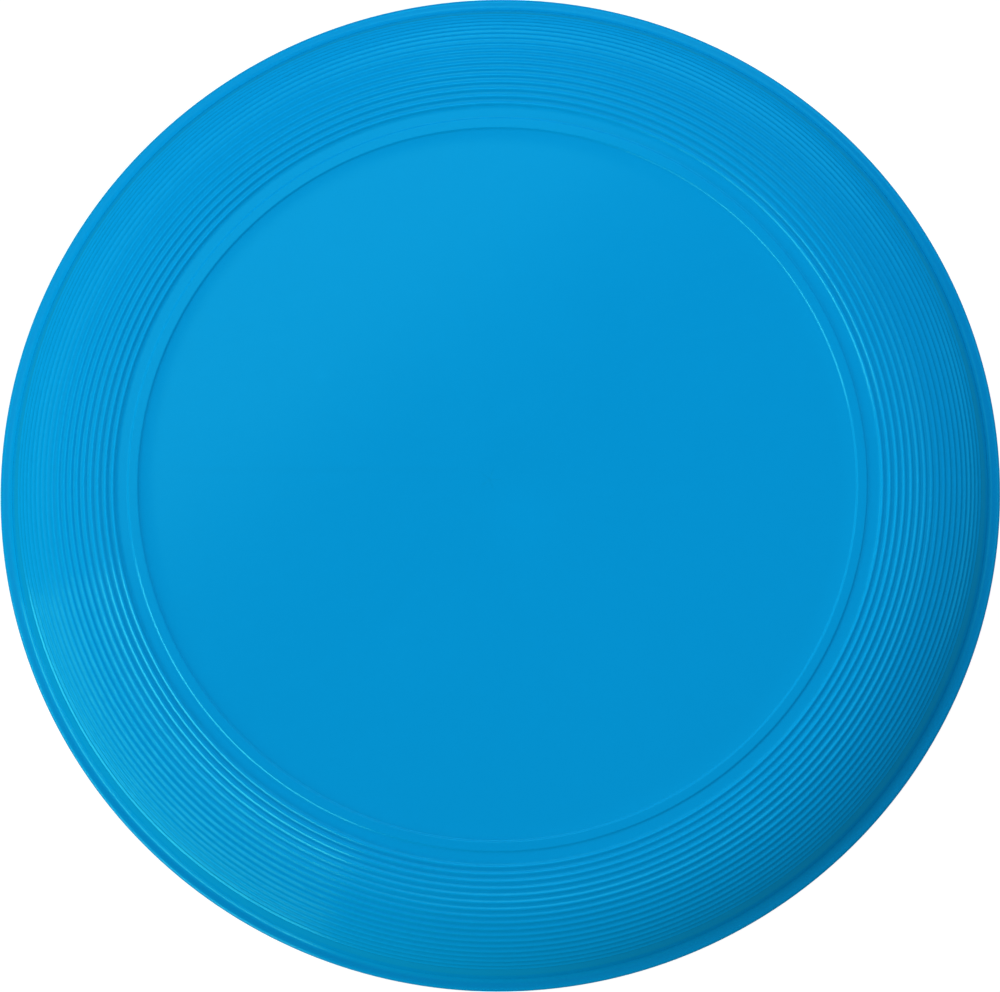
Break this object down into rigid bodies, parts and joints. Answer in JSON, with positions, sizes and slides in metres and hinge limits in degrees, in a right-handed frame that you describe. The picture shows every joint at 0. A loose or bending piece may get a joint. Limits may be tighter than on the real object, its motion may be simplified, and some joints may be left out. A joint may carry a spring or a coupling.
{
  "type": "flying disc",
  "caption": "Round throwing disc: a thin flat plate with a raised ring, a ribbed shoulder that turns down and a narrow rounded lip, open underneath.",
  "frame": {"origin": "on the disc's axis, in the plane of the rim's flat underside, which the disc rests on", "axes": "+Z along the disc's axis of symmetry, up through the plate; X and Y lie in the plane of the rim"},
  "size_m": [0.22, 0.22, 0.0185],
  "materials": {
    "blue_plastic": "satin-gloss moulded polypropylene, smooth plate, fine turned ribs on the shoulder"
  },
  "bodies": {
    "root": {"disc": "blue_plastic"}
  },
  "joints": []
}
